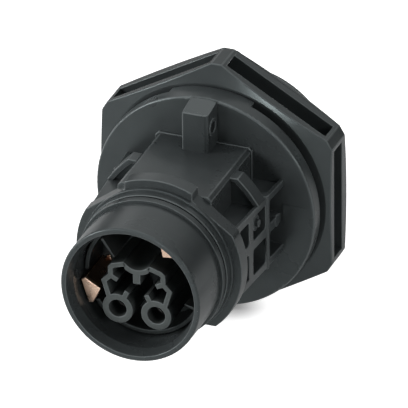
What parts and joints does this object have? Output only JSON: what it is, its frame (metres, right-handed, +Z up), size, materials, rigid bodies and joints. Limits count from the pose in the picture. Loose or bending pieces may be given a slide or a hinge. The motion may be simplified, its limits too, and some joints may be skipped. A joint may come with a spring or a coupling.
{
  "type": "panel mount connector",
  "caption": "Round panel mount power connector with a ribbed housing, a smooth mating collar, a keyed contact insert and a large hexagonal mounting nut behind its flange.",
  "frame": {"origin": "on the connector's axis, in the plane in which the flange seats on the panel", "axes": "+Y along the axis into the cabinet, the mating side faces -Y, +Z up through the sealing lug"},
  "size_m": [0.046, 0.0603, 0.052],
  "materials": {
    "housing_plastic": "satin anthracite",
    "nut_plastic": "satin anthracite",
    "insert_plastic": "satin anthracite",
    "seal_rubber": "matte black",
    "copper": "bright copper",
    "silvered_metal": "silver plated",
    "screw_steel": "zinc plated"
  },
  "bodies": {
    "connector": {"body_housing": "housing_plastic", "panel_gasket": "seal_rubber", "mating_collar": "housing_plastic", "collar_seal": "seal_rubber", "contact_insert": "insert_plastic", "insert_seal": "seal_rubber", "blade_left": "copper", "blade_right": "copper", "blank_upper": "insert_plastic", "blank_lower": "insert_plastic", "socket_left": "silvered_metal", "socket_right": "silvered_metal", "socket_tab_left": "silvered_metal", "socket_tab_right": "silvered_metal", "tail_plate": "insert_plastic", "plate_screws": "screw_steel"},
    "nut": {"mounting_nut": "nut_plastic"}
  },
  "joints": [
    {"name": "nut_turn", "type": "hinge", "parent": "connector", "child": "nut", "pos_m": [0, 0.0066, 0], "axis": [0, 1, 0], "continuous": true}
  ]
}
